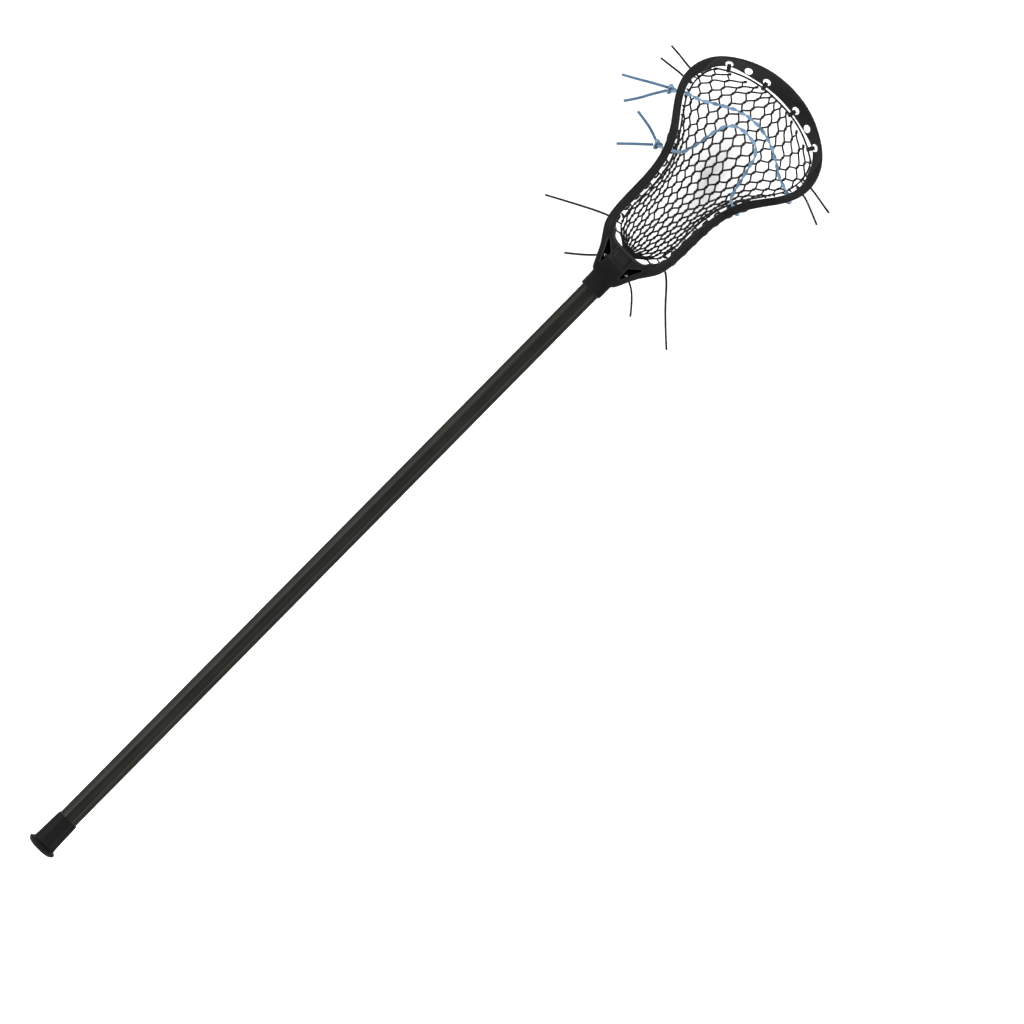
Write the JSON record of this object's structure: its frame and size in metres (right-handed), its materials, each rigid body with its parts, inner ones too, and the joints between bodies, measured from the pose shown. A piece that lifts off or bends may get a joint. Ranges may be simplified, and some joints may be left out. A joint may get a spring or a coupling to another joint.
{
  "type": "lacrosse stick",
  "caption": "Strung lacrosse stick with an octagonal shaft, an open moulded head, a deep mesh pocket, shooting strings and a rubber end cap.",
  "frame": {"origin": "on the shaft's axis at the middle of the overall length, where the upper hand holds the stick", "axes": "+X along the shaft towards the head, +Z out of the open face of the head, +Y towards the knots of the shooting strings"},
  "size_m": [1.09, 0.2523, 0.0965],
  "materials": {
    "shaft_alloy": "satin",
    "cap_rubber": "matt",
    "head_plastic": "satin",
    "screw_steel": "black oxide",
    "stop_foam": "matt foam",
    "mesh_nylon": "knitted",
    "black_string": "braided",
    "blue_lace": "woven"
  },
  "bodies": {
    "stick": {"shaft": "shaft_alloy", "head": "head_plastic", "head_screw": "screw_steel", "ball_stop": "stop_foam", "mesh_pocket": "mesh_nylon", "mesh_tail": "mesh_nylon", "top_string": "black_string", "sidewall_string_left": "black_string", "sidewall_string_right": "black_string", "throat_string": "black_string", "left_long_end": "black_string", "right_long_end": "black_string", "left_short_end": "black_string", "right_short_end": "black_string", "left_scoop_end_1": "black_string", "left_scoop_end_2": "black_string", "right_scoop_end_1": "black_string", "right_scoop_end_2": "black_string", "shooting_string_upper": "blue_lace", "shooting_string_lower": "blue_lace", "shooting_knot_upper": "blue_lace", "shooting_knot_lower": "blue_lace", "upper_lace_end_1": "blue_lace", "upper_lace_end_2": "blue_lace", "lower_lace_end_1": "blue_lace", "lower_lace_end_2": "blue_lace"},
    "cap": {"end_cap": "cap_rubber"}
  },
  "joints": [
    {"name": "end_cap_pull", "type": "slide", "parent": "stick", "child": "cap", "axis": [-1, 0, 0], "range_m": [0, 0.05]}
  ]
}
